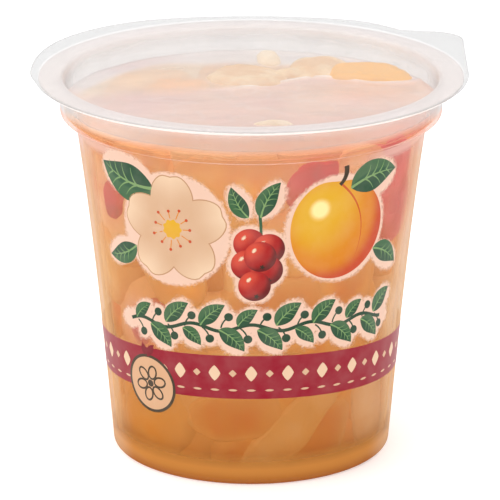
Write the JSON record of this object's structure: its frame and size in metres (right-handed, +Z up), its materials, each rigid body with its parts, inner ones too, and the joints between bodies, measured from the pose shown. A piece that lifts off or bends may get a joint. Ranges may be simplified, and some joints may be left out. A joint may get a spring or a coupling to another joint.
{
  "type": "fruit cup",
  "caption": "Single-serve tapered translucent plastic cup of mixed fruit pieces in syrup, printed round the wall and sealed by a clear peel-off film lid with a pull tab.",
  "frame": {"origin": "on the cup's axis at the foot ring's flat face, which is the bottom centre of the box to within 0.7 mm, because the film lid overhangs unevenly", "axes": "+Z up along the cup's axis, -Y towards the side whose printed panel is seen from the front, +X to the right of that panel"},
  "size_m": [0.0855, 0.0857, 0.0754],
  "materials": {
    "cup_plastic": "milky translucent polypropylene, satin gloss",
    "lid_film": "hazy clear peel film, glossy",
    "syrup": "clear light syrup tinted orange by the fruit",
    "peach": "wet soft peach flesh",
    "pear": "wet soft pear flesh",
    "cherry": "wet cherry skin",
    "print_green": "dark green printing ink",
    "print_magenta": "magenta printing ink",
    "print_pale": "opaque pale printing ink",
    "print_yellow": "yellow to orange printing ink",
    "print_red": "red printing ink",
    "print_tan": "tan printing ink",
    "print_dark": "dark brown printing ink"
  },
  "bodies": {
    "root": {"cup": "cup_plastic", "film_lid": "lid_film", "fruit_in_syrup": "syrup"}
  },
  "joints": []
}
